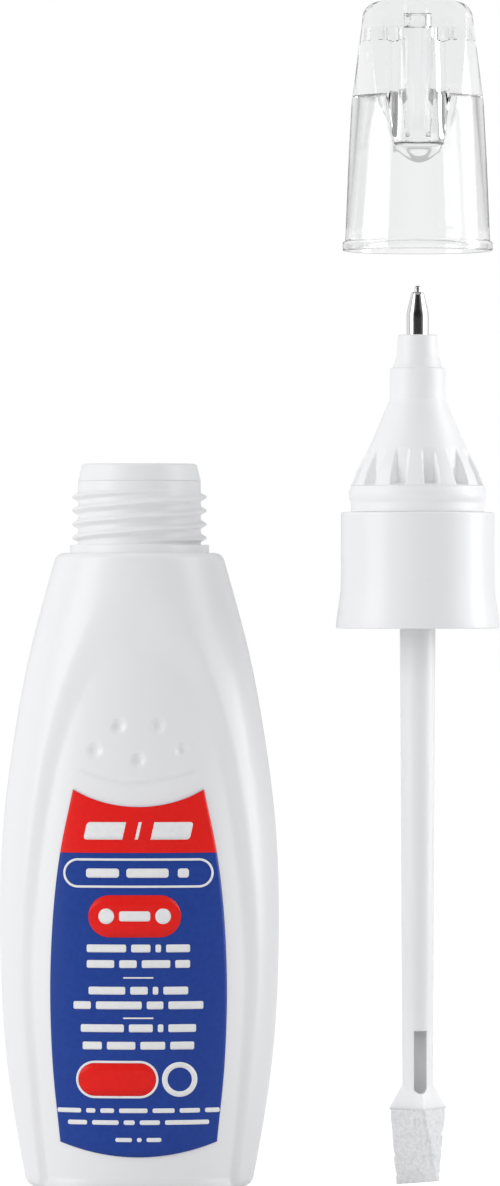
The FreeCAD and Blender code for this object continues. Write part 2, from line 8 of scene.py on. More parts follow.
import bmesh
import bpy
import numpy as np
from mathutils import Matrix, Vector


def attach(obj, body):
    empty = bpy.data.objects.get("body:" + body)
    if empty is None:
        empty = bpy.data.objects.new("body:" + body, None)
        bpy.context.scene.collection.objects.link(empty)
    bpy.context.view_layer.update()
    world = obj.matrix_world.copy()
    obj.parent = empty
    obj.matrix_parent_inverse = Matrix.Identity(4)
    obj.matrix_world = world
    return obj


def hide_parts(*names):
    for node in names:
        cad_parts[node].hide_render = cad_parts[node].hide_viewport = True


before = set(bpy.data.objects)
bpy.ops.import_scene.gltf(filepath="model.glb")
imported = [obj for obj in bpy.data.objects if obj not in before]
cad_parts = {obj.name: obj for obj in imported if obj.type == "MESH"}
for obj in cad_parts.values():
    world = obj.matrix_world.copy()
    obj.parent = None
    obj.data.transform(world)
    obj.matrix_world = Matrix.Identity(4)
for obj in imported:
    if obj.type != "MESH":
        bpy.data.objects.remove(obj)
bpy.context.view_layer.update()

# Bottle shell: blown in one piece from white polyethylene, an oval body that runs up to a round shoulder.
# Front and back have a sunk panel with a soft edge, and the front one has five dimples and a curved groove.
# The neck has a collar and a two-start right-hand thread. It is hollow, with a wall of even thickness.
MM = 0.001
BODY_HEIGHTS = np.array([0.0, 5.0, 13.8, 27.0, 40.2, 49.0, 57.8, 66.6, 69.6])
BODY_HALF_WIDTHS = np.array([12.35, 13.3, 14.6, 15.33, 14.95, 13.85, 12.25, 9.95, 9.1])
BODY_HALF_DEPTHS = np.array([8.7, 9.05, 9.52, 9.83, 9.8, 9.69, 9.42, 9.15, 9.1])
SHOULDER = 69.6
SHOULDER_ROUNDING = 0.8
HEEL_ROUNDING = 1.0
BOTTLE_WALL = 0.9
COLLAR_RADIUS = 7.65
COLLAR_HEIGHT = 0.9
NECK_RADIUS = 6.75
NECK_BORE = 5.6
NECK_TOP = 77.5
THREAD_DEPTH = 0.66
THREAD_LEAD = 3.0
THREAD_STARTS = 2
THREAD_HALF_WIDTH = 0.5
THREAD_CREST = 71.25
THREAD_FOOT = 70.75
THREAD_HEAD = 76.5
PANEL_DEPTH = 0.6
PANEL_FLOOR = ((10.3, 0.9), (10.9, 8.5), (11.65, 21.5), (11.35, 30.0), (10.4, 38.4), (9.4, 44.2), (8.5, 47.9),
               (7.0, 52.2), (4.5, 56.7), (0.0, 59.6))
PANEL_RIM = ((10.8, 0.4), (11.8, 8.5), (13.1, 21.5), (12.95, 30.0), (12.1, 38.4), (11.2, 44.2), (10.4, 48.5),
             (8.9, 54.0), (6.4, 60.0), (3.6, 64.5), (0.0, 66.6))
DIMPLES = ((-4.75, 48.1), (-2.15, 50.7), (0.0, 47.0), (2.15, 50.7), (4.75, 48.1))
DIMPLE_RADIUS = 0.95
DIMPLE_DEPTH = 0.34
GROOVE_HALF_LENGTH = 6.9
GROOVE_END = 46.3
GROOVE_DIP = 1.75
GROOVE_HALF_WIDTH = 0.24
GROOVE_DEPTH = 0.16
BOTTLE_COLUMNS = 272


def smooth(x, knots, values):
    """Cubic through the knots: each piece is a Hermite curve whose end slopes are central differences."""
    knots, values = np.asarray(knots, float), np.asarray(values, float)
    slopes = np.gradient(values, knots)
    i = np.clip(np.searchsorted(knots, x) - 1, 0, len(knots) - 2)
    step = knots[i + 1] - knots[i]
    t = np.clip((x - knots[i]) / step, 0.0, 1.0)
    start = (1 + 2 * t) * (1 - t) ** 2 * values[i] + t * (1 - t) ** 2 * step * slopes[i]
    return start + t ** 2 * (3 - 2 * t) * values[i + 1] + t ** 2 * (t - 1) * step * slopes[i + 1]


def ease(t):
    """0 below 0, 1 above 1, and 3t^2 - 2t^3 between."""
    t = np.clip(t, 0.0, 1.0)
    return t * t * (3 - 2 * t)


def far_from(line, x, z):
    """Least distance from each (x, z) to a line of points, and whether x lies within the line there."""
    line = np.array(line)
    along = np.linspace(0, len(line) - 1, 160)
    xs = smooth(along, np.arange(len(line)), line[:, 0])
    zs = smooth(along, np.arange(len(line)), line[:, 1])
    run_x, run_z = np.diff(xs), np.diff(zs)
    flat_x, flat_z = np.abs(x).reshape(-1, 1), z.reshape(-1, 1)
    t = ((flat_x - xs[:-1]) * run_x + (flat_z - zs[:-1]) * run_z) / (run_x ** 2 + run_z ** 2)
    t = np.clip(t, 0.0, 1.0)
    gap = np.hypot(flat_x - xs[:-1] - t * run_x, flat_z - zs[:-1] - t * run_z).min(axis=1)
    reach = np.interp(z.ravel(), zs, xs, left=-1.0, right=-1.0)
    return gap.reshape(x.shape), (np.abs(x).ravel() < reach).reshape(x.shape)


def panel_sink(x, z):
    """Depth of the panel at (x, z): all of it inside the floor's line, sloping to none at the rim's line."""
    to_floor, on_floor = far_from(PANEL_FLOOR, x, z)
    to_rim, in_rim = far_from(PANEL_RIM, x, z)
    share = to_rim / (to_rim + to_floor + 1e-9)
    share = 0.55 * share + 0.45 * ease(share)
    return PANEL_DEPTH * np.where(on_floor, 1.0, np.where(in_rim, share, 0.0))


def grip_sink(x, z):
    """Depth of the dimples, round hollows, and of the groove, an arc with a rounded section."""
    depth = np.zeros_like(x)
    for centre_x, centre_z in DIMPLES:
        away = np.hypot(x - centre_x, z - centre_z) / DIMPLE_RADIUS
        depth = depth + DIMPLE_DEPTH * ease(1.25 * (1 - away))
    radius = (GROOVE_HALF_LENGTH ** 2 + GROOVE_DIP ** 2) / (2 * GROOVE_DIP)
    centre = GROOVE_END - GROOVE_DIP + radius
    across = np.abs(np.hypot(x, z - centre) - radius)
    groove = ease(1 - across / GROOVE_HALF_WIDTH) * ease((GROOVE_HALF_LENGTH - np.abs(x)) / 1.2)
    return depth + GROOVE_DEPTH * np.where(z < centre, groove, 0.0)


def piece(name, grids, body, material, replaced=(), ring=False, sharp=None):
    """Closed mesh of grids whose columns go round; their rows end in poles, or join up where ring is set."""
    points, quads, used = [], [], 0
    for grid in grids:
        rows, columns = grid.shape[:2]
        index = used + np.arange(rows * columns).reshape(rows, columns)
        low = index if ring else index[:-1]
        high = np.roll(index, -1, axis=0) if ring else index[1:]
        quads.append(np.stack([low, np.roll(low, -1, 1), np.roll(high, -1, 1), high], axis=-1).reshape(-1, 4))
        points.append(grid.reshape(-1, 3) * MM)
        used += rows * columns
    mesh = bpy.data.meshes.new(name)
    mesh.from_pydata(np.concatenate(points).tolist(), [], np.concatenate(quads).tolist())
    return finished(name, mesh, body, material, replaced, sharp)


def finished(name, mesh, body, material, replaced=(), sharp=None):
    """Weld the mesh's poles, point it outwards, shade it smooth up to the sharp angle, and hand it over."""
    form = bmesh.new()
    form.from_mesh(mesh)
    bmesh.ops.remove_doubles(form, verts=form.verts, dist=1e-7)
    if form.calc_volume(signed=True) < 0:
        bmesh.ops.reverse_faces(form, faces=form.faces)
    for face in form.faces:
        face.smooth = True
    if sharp is not None:
        for edge in form.edges:
            edge.smooth = edge.calc_face_angle(math.pi) < math.radians(sharp)
    form.to_mesh(mesh)
    form.free()
    mesh.materials.append(material)
    made = bpy.data.objects.new(name, mesh)
    bpy.context.collection.objects.link(made)
    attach(made, body)
    if replaced:
        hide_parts(*replaced)
    return made


class Value:
    """A socket's value in a material's sums: + and * add Math nodes for it."""

    def __init__(self, shader, socket):
        self.shader = shader
        self.socket = socket

    def math(self, operation, *terms):
        return self.shader.node("ShaderNodeMath", {"operation": operation}, dict(enumerate(terms)))

    def __add__(self, other):
        return self.math("ADD", self, other)

    def __mul__(self, other):
        return self.math("MULTIPLY", self, other)

    __radd__ = __add__
    __rmul__ = __mul__

    def between(self, low, high):
        """Eased share of the way from low to high, clamped to 0 and 1."""
        return self.shader.node("ShaderNodeMapRange", {"interpolation_type": "SMOOTHSTEP"},
                                {"Value": self, "From Min": low, "From Max": high})


class Shader:
    """A material on one Principled surface, with node() to add any other node."""

    def __init__(self, name, finish):
        self.material = bpy.data.materials.new(name)
        self.material.use_nodes = True
        self.tree = self.material.node_tree
        self.surface = self.tree.nodes["Principled BSDF"]
        self.place = self.node("ShaderNodeTexCoord", {}, {}, "Object")
        self.feed(self.surface, finish)

    def feed(self, node, sockets):
        for key, value in sockets.items():
            if isinstance(value, Value):
                self.tree.links.new(value.socket, node.inputs[key])
            else:
                node.inputs[key].default_value = value

    def node(self, kind, settings, sockets, output=0):
        """Add a node: its settings come first, then the values or links of its sockets."""
        made = self.tree.nodes.new(kind)
        for key, value in settings.items():
            if key == "stops":
                for spot, tone in value[1:-1]:
                    made.color_ramp.elements.new(spot)
                for element, (spot, tone) in zip(made.color_ramp.elements, value):
                    element.position, element.color = spot, (tone, tone, tone, 1.0)
            else:
                setattr(made, key, value)
        self.feed(made, sockets)
        return Value(self, made.outputs[output])

    def noise(self, size, detail=2.0, stretch=(1.0, 1.0, 1.0)):
        """Noise from 0 to 1 with features of about the size in millimetres, drawn out by stretch."""
        scale = [1.0 / (size * MM * s) for s in stretch]
        spot = self.node("ShaderNodeVectorMath", {"operation": "MULTIPLY"}, {0: self.place, 1: scale})
        return self.node("ShaderNodeTexNoise", {}, {"Vector": spot, "Scale": 1.0, "Detail": detail})

    def blend(self, share, first, second):
        """Colour that goes from the first to the second as share goes from 0 to 1."""
        return self.node("ShaderNodeMix", {"data_type": "RGBA"}, {0: share, 6: first, 7: second}, 2)

    def bump(self, height, depth, strength=1.0):
        """Normal of a height from 0 to 1 that stands for a depth in millimetres."""
        sockets = {"Height": height, "Distance": depth * MM, "Strength": strength}
        return self.node("ShaderNodeBump", {}, sockets)


def plastic(name, light, dark, rough, rough_change, finish, grain=0.12, relief=0.002):
    """Moulded plastic: faint cloudy tone, patches of more and less shine, and the mould's fine grain."""
    shader = Shader(name, finish)
    cloud = shader.noise(14.0, 1.0).between(0.0, 1.0)
    wear = shader.noise(7.0, 1.0).between(0.0, 1.0)
    shader.feed(shader.surface, {
        "Base Color": shader.blend(cloud, light, dark),
        "Roughness": rough + rough_change * wear,
        "Normal": shader.bump(shader.noise(grain, 2.0), relief),
    })
    return shader.material


def oval_rows():
    """Half width, half depth and height of each level: base, heel, side, shoulder, neck, then the inside."""
    def level(width, depth, height):
        return np.stack(np.broadcast_arrays(width, depth, height), axis=-1).astype(float)

    def body(z, inset):
        wide, deep = smooth(z, BODY_HEIGHTS, BODY_HALF_WIDTHS), smooth(z, BODY_HEIGHTS, BODY_HALF_DEPTHS)
        return level(wide - inset, deep - inset, z)

    def round_level(radius, z):
        return level(radius, radius, z)

    turn = np.linspace(0.0, math.pi / 2, 7)
    across = np.linspace(0.0, 1.0, 10)[:-1]
    wide, deep = BODY_HALF_WIDTHS[0] - HEEL_ROUNDING, BODY_HALF_DEPTHS[0] - HEEL_ROUNDING
    base = level(wide * across, deep * across, 0.0)
    heel_z = HEEL_ROUNDING * (1 - np.cos(turn))
    heel = body(heel_z, HEEL_ROUNDING * (1 - np.sin(turn)))
    top = SHOULDER - SHOULDER_ROUNDING
    grip_z = np.arange(43.0, 53.4, 0.22)
    side_z = np.concatenate([np.arange(1.4, 42.8, 0.55), grip_z, np.arange(53.6, top, 0.42)])
    side = body(side_z, 0.0)
    shoulder = body(top + SHOULDER_ROUNDING * np.sin(turn), SHOULDER_ROUNDING * (1 - np.cos(turn)))
    flat = round_level(np.linspace(BODY_HALF_WIDTHS[-1] - SHOULDER_ROUNDING, COLLAR_RADIUS, 4)[1:], SHOULDER)
    collar_top = SHOULDER + COLLAR_HEIGHT
    collar_z = np.array([0.08, 0.45, COLLAR_HEIGHT - 0.12, COLLAR_HEIGHT - 0.03, COLLAR_HEIGHT])
    collar = round_level(COLLAR_RADIUS - np.array([0.0, 0.0, 0.0, 0.04, 0.16]), SHOULDER + collar_z)
    step = round_level(np.array([7.1, NECK_RADIUS + 0.05]), collar_top)
    neck = round_level(NECK_RADIUS, np.arange(collar_top + 0.08, NECK_TOP, 0.105))
    lip = round_level(np.array([NECK_RADIUS, 6.2, NECK_BORE]), NECK_TOP)
    bore = round_level(NECK_BORE, np.linspace(NECK_TOP, SHOULDER - 0.4, 8)[1:])
    inner_shoulder = round_level(np.array([6.3, 7.2]), SHOULDER - BOTTLE_WALL)
    inner_z = np.concatenate([np.linspace(SHOULDER - 1.8, 53.6, 12), np.linspace(53.0, BOTTLE_WALL + 1, 50)])
    inside = body(inner_z, BOTTLE_WALL)
    floor = level((wide - 0.4) * across[::-1], (deep - 0.4) * across[::-1], BOTTLE_WALL)
    return np.concatenate([base, heel, side, shoulder, flat, collar, step, neck, lip, bore, inner_shoulder,
                           inside, floor])


rows = oval_rows()
even = np.arange(BOTTLE_COLUMNS) * 2 * math.pi / BOTTLE_COLUMNS
angle = even + 0.2 * np.sin(2 * even)
shell = np.stack([rows[:, :1] * np.cos(angle), rows[:, 1:2] * np.sin(angle), rows[:, 2:] + 0 * angle],
                 axis=-1)
outside = np.arange(len(rows))[:, None] < np.argmax(rows[:, 2])
z = shell[..., 2]
sinks = (z < SHOULDER - 1.0) & (z > 0.2)
sunk = np.where(sinks, panel_sink(shell[..., 0], z), 0.0)
x = (rows[:, :1] - sunk) * np.cos(angle)
sunk = panel_sink(x, z) + np.where(outside & (np.sin(angle) < 0), grip_sink(x, z), 0.0)
sunk = np.where(sinks, sunk, 0.0)
shell[..., 0] = (rows[:, :1] - sunk) * np.cos(angle)
shell[..., 1] = (rows[:, 1:2] - sunk) * np.sin(angle)
pitch = THREAD_LEAD / THREAD_STARTS
turns = (z - THREAD_CREST - THREAD_LEAD * angle / (2 * math.pi)) / pitch
from_crest = np.abs(turns - np.round(turns)) * pitch
fade = ease((z - THREAD_FOOT) / 0.3) * ease((THREAD_HEAD - z) / 0.5)
ridge = np.clip(1.12 * (1 - from_crest / THREAD_HALF_WIDTH), 0.0, 1.0)
ridge = np.where(outside, THREAD_DEPTH * (0.5 * ridge + 0.5 * ease(ridge)) * fade, 0.0)
shell[..., :2] *= (1 + ridge / np.hypot(shell[..., 0], shell[..., 1]).clip(1.0))[..., None]

bottle_white = plastic("bottle_white", (0.90, 0.90, 0.905, 1), (0.893, 0.894, 0.90, 1), 0.285, 0.04,
                       {"IOR": 1.5}, 0.18, 0.0012)
piece("bottle_shell_skin", [shell], "bottle", bottle_white, ["bottle_shell"])

# Wiper insert: soft natural polyethylene, pressed in the neck until its flange lies on the neck's top edge.
# Its two lips stand into the bore and wipe the wand as it is drawn out.
INSERT_BORE = 3.5
INSERT_FOOT = 71.0
INSERT_TOP = 79.4
INSERT_TOP_RADIUS = 6.3


def rounded(corners, spacing=0.35):
    """Closed profile of (radius, height, rounding) corners: each is an arc, and the straights are divided."""
    corners = np.array(corners, float)
    spots = []
    for i, (here, cut) in enumerate(zip(corners[:, :2], corners[:, 2])):
        before, after = corners[i - 1, :2], corners[(i + 1) % len(corners), :2]
        start = here + (before - here) / np.linalg.norm(before - here) * cut
        end = here + (after - here) / np.linalg.norm(after - here) * cut
        t = np.linspace(0.0, 1.0, 5)[:, None] if cut > 0 else np.zeros((1, 1))
        bend = (1 - t) ** 2 * start + 2 * t * (1 - t) * here + t ** 2 * end
        if spots:
            count = max(2, int(np.linalg.norm(bend[0] - spots[-1][-1]) / spacing) + 1)
            spots.append(np.linspace(spots[-1][-1], bend[0], count)[1:-1])
        spots.append(bend)
    return np.concatenate(spots)


def lathe(profile, columns, centre=0.0, foot=0.0, change=None):
    """Grid of a turned piece: change(radius, height, angle) may alter both before they are placed."""
    angle = np.arange(columns) * 2 * math.pi / columns
    radius, height = np.broadcast_arrays(profile[:, :1], profile[:, 1:], angle)[:2]
    if change:
        radius, height = change(radius, height, angle[None, :])
    return np.stack([centre + radius * np.cos(angle), radius * np.sin(angle), foot + height], axis=-1)


insert_natural = plastic("insert_natural", (0.90, 0.905, 0.905, 1), (0.87, 0.88, 0.88, 1), 0.35, 0.08,
                         {"IOR": 1.5}, 0.8, 0.002)
insert_profile = rounded([
    (INSERT_BORE, INSERT_FOOT, 0.15), (5.1, INSERT_FOOT, 0.2), (5.58, INSERT_FOOT + 1.0, 0.1),
    (5.58, NECK_TOP, 0), (NECK_RADIUS, NECK_TOP, 0.12), (INSERT_TOP_RADIUS, INSERT_TOP, 0.3),
    (INSERT_BORE, INSERT_TOP, 0.3), (INSERT_BORE, INSERT_TOP - 1.9, 0.1), (4.6, NECK_TOP - 0.6, 0),
    (4.6, INSERT_FOOT + 1.6, 0), (INSERT_BORE, INSERT_FOOT + 0.6, 0.1)])
piece("wiper_insert_skin", [lathe(insert_profile, 128)], "bottle", insert_natural,
      ["wiper_insert"], ring=True)

# Mixing ball: a loose steel ball on the bottle's floor that stirs the fluid when the pen is shaken.
# It is ground and polished, and nothing but the open mouth shows it.


def metal(name, light, dark, rough, rough_change, finish, grain_stretch, relief):
    """Worked metal: faint change of tone and shine in lines drawn out along the way it was worked."""
    shader = Shader(name, {"Metallic": 1.0, **finish})
    lines = shader.noise(0.12, 3.0, grain_stretch)
    shader.feed(shader.surface, {
        "Base Color": shader.blend(shader.noise(1.5, 3.0), light, dark),
        "Roughness": rough + rough_change * lines,
        "Normal": shader.bump(lines, relief),
    })
    return shader.material


def dress(node, material):
    """Give a CAD piece that stays in view its own finish."""
    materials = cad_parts[node].data.materials
    materials.clear()
    materials.append(material)


dress("mixing_ball", metal("ball_steel", (0.62, 0.62, 0.63, 1), (0.55, 0.55, 0.56, 1), 0.12, 0.1, {},
                           (1.0, 1.0, 1.0), 0.0005))

# Front label: a gloss film of blue stuck in the panel, with a hollow top edge and a round foot.
# It is printed in red and white, and its places for type hold plain bars, rules and rings.
FILM = 0.12
INK = 0.05
BOND = 0.02
OVERPRINT = 0.006
FILM_DEPTH = PANEL_DEPTH - BOND - FILM
INK_DEPTH = FILM_DEPTH - INK
LABEL_FOOT = 5.3
LABEL_TOP = 43.8
LABEL_HEIGHTS = (LABEL_FOOT, 14.0, 25.0, 36.9, LABEL_TOP)
LABEL_HALF_WIDTHS = (8.56, 9.4, 9.6, 8.55, 7.15)
LABEL_TOP_DIP = 1.9
LABEL_FOOT_DIP = 1.6
HEADER_FOOT = 36.9


def body_point(x, z, sink):
    """Front of the oval body at (x, z) with both its half axes drawn in by sink."""
    wide = smooth(z, BODY_HEIGHTS, BODY_HALF_WIDTHS) - sink
    deep = smooth(z, BODY_HEIGHTS, BODY_HALF_DEPTHS) - sink
    return np.stack([x, -deep * np.sqrt(1 - (x / wide) ** 2), z], axis=-1)


def layer(x, z, depth, thickness):
    """Closed thin layer over a grid of (x, z): its front lies at depth, its back deeper by the thickness."""
    x, z = [np.concatenate([values[:1], values, values[-1:]]) for values in (x, z)]
    front, back = body_point(x, z, depth), body_point(x, z, depth + thickness)
    for end in (0, -1):
        front[end] = back[end] = (front[end] + back[end]) / 2
    return np.concatenate([front, back[:, ::-1]], axis=1)


def label_field(foot, foot_dip, top, top_dip, depth, thickness):
    """Layer of the label's width between a foot arc and a top arc that sag by their dip in the middle."""
    u = np.linspace(-1.0, 1.0, 61)[:, None]
    v = np.linspace(0.0, 1.0, 61)
    low, high = foot - foot_dip * (1 - u ** 2), top - top_dip * (1 - u ** 2)
    z = low + (high - low) * v
    return layer(u * smooth(z, LABEL_HEIGHTS, LABEL_HALF_WIDTHS), z, depth, thickness)


def bar(middle, length, height, corner, lean=0.0, over=OVERPRINT):
    """Layer of ink as a bar: its half height is h - c + sqrt(c^2 - d^2) at d past where its corners start."""
    half = length / 2
    turn = np.linspace(math.pi, 0.0, 25)
    x = half * np.sign(np.cos(turn)) * np.abs(np.cos(turn)) ** 0.6
    past = np.clip(np.abs(x) - (half - corner), 0.0, corner)
    reach = (height / 2 - corner + np.sqrt(corner ** 2 - past ** 2))[:, None]
    rise = reach * np.linspace(-1.0, 1.0, 5)
    return layer(middle[0] + x[:, None] + lean * rise, middle[1] + rise, INK_DEPTH - over, INK + over)


def ring_line(middle, length, height, width):
    """Layer of ink as a closed line round a bar with round ends, the width being the line's."""
    arc = np.linspace(-math.pi / 2, math.pi / 2, 25)
    line = np.linspace(1.0, -1.0, 26)[1:-1]
    turn = np.concatenate([arc, np.full(24, math.pi / 2), arc + math.pi, np.full(24, 1.5 * math.pi)])
    shift = (length - height) / 2 * np.concatenate([np.ones(25), line, -np.ones(25), -line])
    out = height / 2 - width * np.array([0.0, 0.5, 1.0])
    x = middle[0] + shift[:, None] + np.cos(turn)[:, None] * out
    z = middle[1] + np.sin(turn)[:, None] * out
    front, back = body_point(x, z, INK_DEPTH - OVERPRINT), body_point(x, z, INK_DEPTH + INK)
    return np.concatenate([front, back[:, ::-1]], axis=1)


def ink(name, light, dark):
    """Gloss print: an even colour with the faint mottle of a printing plate, under clear varnish."""
    shader = Shader(name, {"Specular IOR Level": 0.2, "Coat Roughness": 0.08})
    mottle = shader.noise(0.6, 4.0)
    shader.feed(shader.surface, {
        "Base Color": shader.blend(mottle.between(0.3, 0.7), light, dark),
        "Roughness": 0.285 + 0.05 * mottle,
        "Coat Weight": 0.08 * shader.noise(4.0, 2.0),
        "Normal": shader.bump(shader.noise(0.3, 2.0), 0.0008),
    })
    return shader.material


label_film = ink("label_film", (0.012, 0.054, 0.32, 1), (0.0105, 0.048, 0.295, 1))
label_red = ink("label_red", (0.87, 0.0105, 0.007, 1), (0.83, 0.009, 0.006, 1))
label_white = ink("label_white", (0.90, 0.90, 0.90, 1), (0.86, 0.86, 0.865, 1))
film_field = label_field(LABEL_FOOT, LABEL_FOOT_DIP, LABEL_TOP, LABEL_TOP_DIP, FILM_DEPTH, FILM)
piece("front_label_film", [film_field], "bottle", label_film, ["front_label"])

CAPSULE_MIDDLE = (-0.4, 30.0)
MARK_MIDDLE = (-2.3, 12.2)
STRIP_HEIGHT = 34.7
red_fields = [label_field(HEADER_FOOT, 0.0, LABEL_TOP, LABEL_TOP_DIP, INK_DEPTH, INK),
              bar(CAPSULE_MIDDLE, 10.1, 4.6, 2.3, over=0.0), bar(MARK_MIDDLE, 8.5, 3.6, 1.8, over=0.0)]
piece("label_red_ink", red_fields, "bottle", label_red, ["label_red_print"])

# Each line of bars: its height on the label, the bars' own height, and their lengths from left to right
WORD_GAP = 0.55
WORD_LINES = ((26.5, 0.85, (4.3, 2.1, 0.6, 2.6)), (24.8, 0.85, (3.0, 1.9, 3.1, 1.6)),
              (21.9, 0.85, (4.0, 1.9, 0.6, 2.7)), (20.3, 0.85, (1.9, 5.0, 1.8, 3.8)),
              (17.8, 0.85, (4.7, 2.6, 0.6, 3.0)), (15.9, 0.85, (2.1, 3.1, 2.7, 2.6)),
              (8.8, 0.5, (2.6, 1.0, 1.5, 3.1, 2.4, 2.2, 1.6)), (7.5, 0.5, (2.1, 2.9, 1.2, 2.2, 4.8)),
              (5.6, 0.45, (1.8, 0.5, 1.6)))
RULE_LINES = ((23.3, 3.3), (18.9, 3.3))
white_forms = [bar((0.0, 39.3), 11.6, 1.9, 0.35, 0.22), bar(CAPSULE_MIDDLE, 3.4, 1.1, 0.3)]
for side in (-1, 1):
    white_forms.append(bar((CAPSULE_MIDDLE[0] + 3.1 * side, CAPSULE_MIDDLE[1]), 1.7, 1.7, 0.85))
for height, thick, words in WORD_LINES:
    start = -(sum(words) + WORD_GAP * (len(words) - 1)) / 2
    for word in words:
        white_forms.append(bar((start + word / 2, height), word, thick, 0.18))
        start += word + WORD_GAP
for height, length in RULE_LINES:
    white_forms.append(bar((0.0, height), length, 0.16, 0.04))
for x, length in ((-3.9, 3.6), (1.0, 4.6), (4.9, 1.2)):
    white_forms.append(bar((x, STRIP_HEIGHT), length, 1.0, 0.3))
piece("label_white_ink", white_forms, "bottle", label_white, ["label_white_print"])
white_rings = [ring_line((0.0, STRIP_HEIGHT), 16.4, 3.2, 0.25), ring_line(MARK_MIDDLE, 9.0, 4.1, 0.25),
               ring_line((4.5, MARK_MIDDLE[1]), 3.85, 3.8, 0.6)]
piece("label_white_rings", white_rings, "bottle", label_white, ring=True)

# Seal liner: a disc of foamed polyethylene that lies loose under the nose and seals on the insert's flange.
# It is cut from sheet, so its faces are dull and its edge is straight.
HEAD_X = 30.6
HEAD_FOOT = 61.3
liner_foam = plastic("liner_foam", (0.86, 0.86, 0.84, 1), (0.80, 0.80, 0.78, 1), 0.6, 0.15, {}, 0.15, 0.01)
dress("seal_liner", liner_foam)

# Screw cap: the skirt that screws on the neck, moulded in white polypropylene with a flared foot.
# Its inside has a two-start thread, a small bead that keeps the liner and a lip that carries the nose.
CAP_HEIGHT = 12.8
CAP_RADIUS = 8.44
CAP_FOOT_RADIUS = 9.0
CAP_FLARE = 4.2
CAP_INNER = 7.5
CAP_HOLE = 7.0
CAP_BEAD_TOP = 9.98
CAP_THREAD_DEPTH = 0.45
CAP_THREAD_FOOT = 1.6
CAP_THREAD_HEAD = 8.2


def cap_thread(radius, height, angle):
    """The inner wall comes in by a rounded ridge along both starts, fading out at foot and head."""
    turns = (height - CAP_THREAD_FOOT - THREAD_LEAD * angle / (2 * math.pi)) / pitch
    from_crest = np.abs(turns - np.round(turns)) * pitch
    shape = ease(1.25 * (1 - from_crest / 0.5))
    shape = shape * ease((height - CAP_THREAD_FOOT) / 0.7) * ease((CAP_THREAD_HEAD - height) / 0.7)
    return radius - CAP_THREAD_DEPTH * np.where(radius < CAP_INNER + 0.01, shape, 0.0), height


cap_white = plastic("cap_white", (0.915, 0.915, 0.92, 1), (0.908, 0.909, 0.914, 1), 0.285, 0.03,
                    {"IOR": 1.49}, 0.18, 0.0012)
cap_profile = rounded([
    (CAP_INNER, 0.0, 0.15), (CAP_FOOT_RADIUS, 0.0, 0.15), (CAP_FOOT_RADIUS - 0.05, 0.9, 0.3),
    (CAP_RADIUS, CAP_FLARE, 1.6), (CAP_RADIUS, CAP_HEIGHT, 0.3), (CAP_HOLE, CAP_HEIGHT, 0.05),
    (CAP_HOLE, CAP_HEIGHT - 1.0, 0.05), (CAP_INNER, CAP_HEIGHT - 1.0, 0.1), (CAP_INNER, CAP_BEAD_TOP, 0.03),
    (CAP_INNER - 0.3, CAP_BEAD_TOP, 0.05), (CAP_INNER - 0.3, CAP_BEAD_TOP - 0.3, 0.05),
    (CAP_INNER, CAP_BEAD_TOP - 0.6, 0.05)], 0.14)
cap_grid = lathe(cap_profile, 200, HEAD_X, HEAD_FOOT, cap_thread)
piece("screw_cap_skin", [cap_grid], "applicator", cap_white, ["screw_cap"], ring=True)

# Nose: the grip of the pen, moulded in white polypropylene with twelve ribs round a narrowing barrel.
# A beaded band seats the overcap, and the cone ends in a stem with a socket for the metal tip.
RIB_COUNT = 12
RIB_ANGLES = np.radians((15.5, 11.5))
RIB_TURN = math.radians(-3.4)
POCKET_FLOOR = 15.7
POCKET_WALL_TOP = 17.65
POCKET_END = 19.85
POCKET_RADIUS = 5.75
POCKET_END_RADIUS = 5.38
POCKET_EDGE = 0.3
BARREL = ((15.6, 7.36), (17.6, 6.55), (19.8, 5.4), (22.4, 4.25), (25.3, 3.05))
NOSE_FOOT = 10.9
SPIGOT_RADIUS = 6.98
BAND_FOOT = CAP_HEIGHT + 0.02
BAND_RADIUS = 7.34
BEAD_RADIUS = 7.56
STEM_RADIUS = 3.05
STEM_TOP = 28.6
NOSE_TOP = 32.3
TIP_SOCKET = 1.24
TIP_SOCKET_FOOT = 26.48
FEED_BORE = 1.0
WAND_SOCKET = 1.98
WAND_SOCKET_TOP = 18.02


def rib_pockets(radius, height, angle):
    """Between ribs the barrel drops to the pockets' radius, with eased edges at the ribs' sides and foot."""
    step = 2 * math.pi / RIB_COUNT
    off = np.abs(((angle - RIB_TURN) / step) % 1.0 - 0.5) * step
    rib = np.interp(height, (POCKET_FLOOR, POCKET_END), RIB_ANGLES)
    beside = ease((step / 2 - rib / 2 - off) * radius / POCKET_EDGE)
    above = ease((height - POCKET_FLOOR) / POCKET_EDGE)
    floor = np.interp(height, (POCKET_WALL_TOP, POCKET_END), (POCKET_RADIUS, POCKET_END_RADIUS))
    drop = np.where((radius > floor) & (height < POCKET_END), radius - floor, 0.0)
    return radius - drop * beside * above, height


